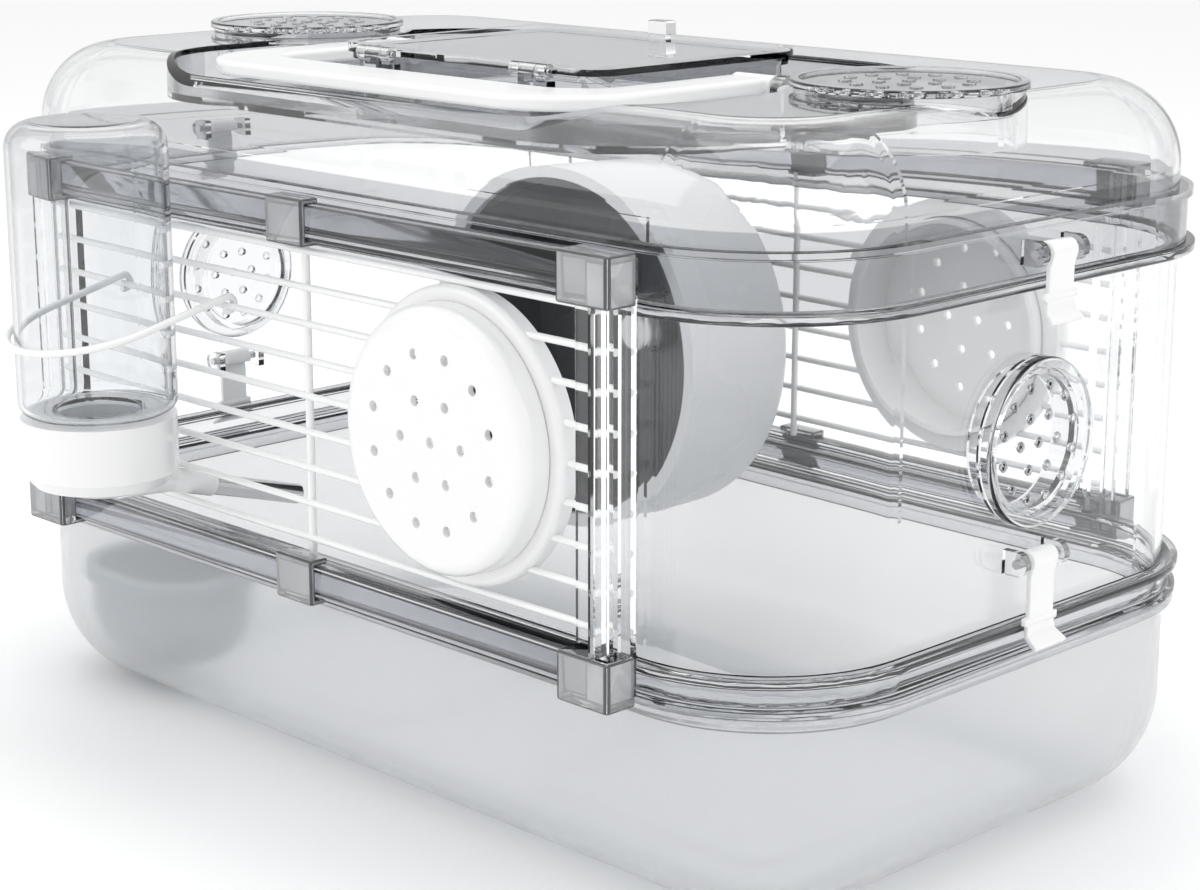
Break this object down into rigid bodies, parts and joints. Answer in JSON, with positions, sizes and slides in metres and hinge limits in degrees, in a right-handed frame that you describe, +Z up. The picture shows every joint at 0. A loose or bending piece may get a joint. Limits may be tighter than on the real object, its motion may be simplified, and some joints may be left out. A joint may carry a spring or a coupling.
{
  "type": "small rodent cage",
  "caption": "Portable small rodent cage with a milky tray, clear end walls, wire sides, round push-in doors, running wheel, drip bottle and a clear lid with a hatch and folding handle",
  "frame": {"origin": "middle of the tray's flat underside, on the surface that the cage stands on", "axes": "+X along the cage's length, -Y towards the wires with the water bottle, +Z up"},
  "size_m": [0.4376, 0.3305, 0.2625],
  "materials": {
    "milky_plastic": "milky translucent, satin",
    "clear_plastic": "clear, polished",
    "white_plastic": "gloss",
    "coated_wire": "white coated",
    "bowl_plastic": "gloss",
    "wheel_plastic": "gloss",
    "steel": "polished",
    "seal_rubber": "matte"
  },
  "bodies": {
    "tray": {"tray": "milky_plastic"},
    "bowl": {"food_bowl": "bowl_plastic"},
    "frame": {"frame_skirt": "clear_plastic", "lid_ledge": "clear_plastic", "left_end_wall": "clear_plastic", "right_end_wall": "clear_plastic", "front_lower_rail": "clear_plastic", "front_upper_rail": "clear_plastic", "back_lower_rail": "clear_plastic", "back_upper_rail": "clear_plastic", "front_clasps": "clear_plastic", "back_clasps": "clear_plastic", "front_wires": "coated_wire", "back_wires": "coated_wire", "front_door_ring": "white_plastic", "back_door_ring": "white_plastic", "wheel_bracket": "white_plastic", "wheel_axle": "white_plastic", "wall_clip_pins": "steel"},
    "wheel": {"running_wheel": "wheel_plastic"},
    "front_door": {"front_door": "white_plastic"},
    "back_door": {"back_door": "white_plastic"},
    "left_port_cap": {"left_port_cap": "clear_plastic"},
    "right_port_cap": {"right_port_cap": "clear_plastic"},
    "left_wall_clip": {"left_wall_clip": "white_plastic"},
    "right_wall_clip": {"right_wall_clip": "white_plastic"},
    "bottle": {"bottle_reservoir": "clear_plastic", "bottle_cap": "white_plastic", "bottle_seal": "seal_rubber", "spout_tube": "steel", "bottle_holder": "coated_wire"},
    "ball": {"spout_ball": "steel"},
    "lid": {"lid": "clear_plastic", "lid_clip_pins": "steel", "hatch_pins": "steel", "handle_pins": "steel"},
    "hatch": {"hatch": "clear_plastic"},
    "handle": {"carry_handle": "white_plastic"},
    "left_top_cap": {"left_top_cap": "clear_plastic"},
    "right_top_cap": {"right_top_cap": "clear_plastic"},
    "left_lid_clip": {"left_lid_clip": "white_plastic"},
    "right_lid_clip": {"right_lid_clip": "white_plastic"}
  },
  "joints": [
    {"name": "bowl_lift", "type": "slide", "parent": "tray", "child": "bowl", "axis": [0, 0, 1], "range_m": [0, 0.025]},
    {"name": "frame_lift", "type": "slide", "parent": "tray", "child": "frame", "axis": [0, 0, 1], "range_m": [0, 0.06]},
    {"name": "lid_lift", "type": "slide", "parent": "frame", "child": "lid", "axis": [0, 0, 1], "range_m": [0, 0.06]},
    {"name": "wheel_spin", "type": "hinge", "parent": "frame", "child": "wheel", "pos_m": [-0.044, 0.062, 0.134], "axis": [0, 1, 0], "continuous": true},
    {"name": "front_door_pull", "type": "slide", "parent": "frame", "child": "front_door", "axis": [0, -1, 0], "range_m": [0, 0.025]},
    {"name": "back_door_pull", "type": "slide", "parent": "frame", "child": "back_door", "axis": [0, 1, 0], "range_m": [0, 0.025]},
    {"name": "left_port_cap_pull", "type": "slide", "parent": "frame", "child": "left_port_cap", "axis": [-1, 0, 0], "range_m": [0, 0.015]},
    {"name": "right_port_cap_pull", "type": "slide", "parent": "frame", "child": "right_port_cap", "axis": [1, 0, 0], "range_m": [0, 0.015]},
    {"name": "left_wall_clip_turn", "type": "hinge", "parent": "frame", "child": "left_wall_clip", "pos_m": [-0.2109, 0, 0.109], "axis": [0, 1, 0], "range_deg": [0, 100]},
    {"name": "right_wall_clip_turn", "type": "hinge", "parent": "frame", "child": "right_wall_clip", "pos_m": [0.2109, 0, 0.109], "axis": [0, -1, 0], "range_deg": [0, 100]},
    {"name": "bottle_pull", "type": "slide", "parent": "frame", "child": "bottle", "axis": [0, -0.9613, 0.2756], "range_m": [0, 0.06]},
    {"name": "spout_ball_travel", "type": "slide", "parent": "bottle", "child": "ball", "axis": [0, -0.9613, 0.2756], "range_m": [0, 0.0015]},
    {"name": "hatch_hinge", "type": "hinge", "parent": "lid", "child": "hatch", "pos_m": [0, -0.0587, 0.2546], "axis": [1, 0, 0], "range_deg": [0, 100]},
    {"name": "handle_pivot", "type": "hinge", "parent": "lid", "child": "handle", "pos_m": [0, -0.003, 0.2485], "axis": [-1, 0, 0], "range_deg": [0, 95]},
    {"name": "left_top_cap_lift", "type": "slide", "parent": "lid", "child": "left_top_cap", "axis": [0, 0, 1], "range_m": [0, 0.02]},
    {"name": "right_top_cap_lift", "type": "slide", "parent": "lid", "child": "right_top_cap", "axis": [0, 0, 1], "range_m": [0, 0.02]},
    {"name": "left_lid_clip_turn", "type": "hinge", "parent": "lid", "child": "left_lid_clip", "pos_m": [-0.2133, 0, 0.208], "axis": [0, 1, 0], "range_deg": [0, 100]},
    {"name": "right_lid_clip_turn", "type": "hinge", "parent": "lid", "child": "right_lid_clip", "pos_m": [0.2133, 0, 0.208], "axis": [0, -1, 0], "range_deg": [0, 100]}
  ]
}
